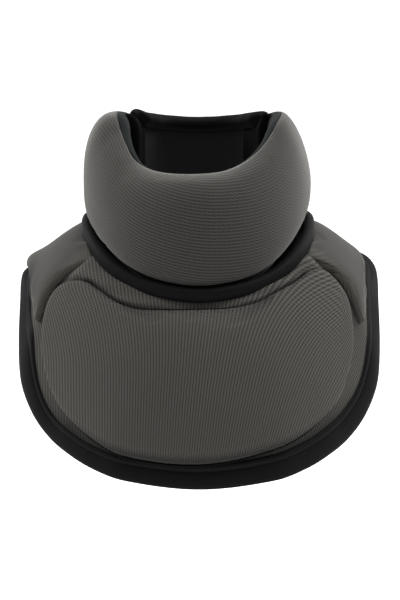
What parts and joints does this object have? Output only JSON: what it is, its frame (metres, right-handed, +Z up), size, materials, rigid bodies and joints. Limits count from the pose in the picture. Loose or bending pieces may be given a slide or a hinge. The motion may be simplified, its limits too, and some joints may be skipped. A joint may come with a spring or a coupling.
{
  "type": "neck protector",
  "caption": "Padded throat and neck protector for a field hockey goalkeeper: thick knitted foam collar, open behind, on a saddle-shaped bib with a chest pad and shoulder pads.",
  "frame": {"origin": "on the vertical axis of the neck opening, at the height where the neckline meets the shoulders (the neck seat)", "axes": "+Z up along the wearer's neck, -Y the way the wearer looks, +X towards the wearer's left shoulder"},
  "size_m": [0.3226, 0.2277, 0.2985],
  "materials": {
    "knit": "matte",
    "lining": "matte",
    "binding": "matte",
    "neoprene": "matte"
  },
  "bodies": {
    "root": {"collar_pad": "knit", "collar_lining": "lining", "neck_binding": "binding", "bib_panel": "knit", "edge_binding": "binding", "chest_pad": "knit", "shoulder_pad_left": "knit", "shoulder_pad_right": "knit", "rear_band": "neoprene", "rear_roll": "neoprene", "closure_tab": "neoprene"}
  },
  "joints": []
}
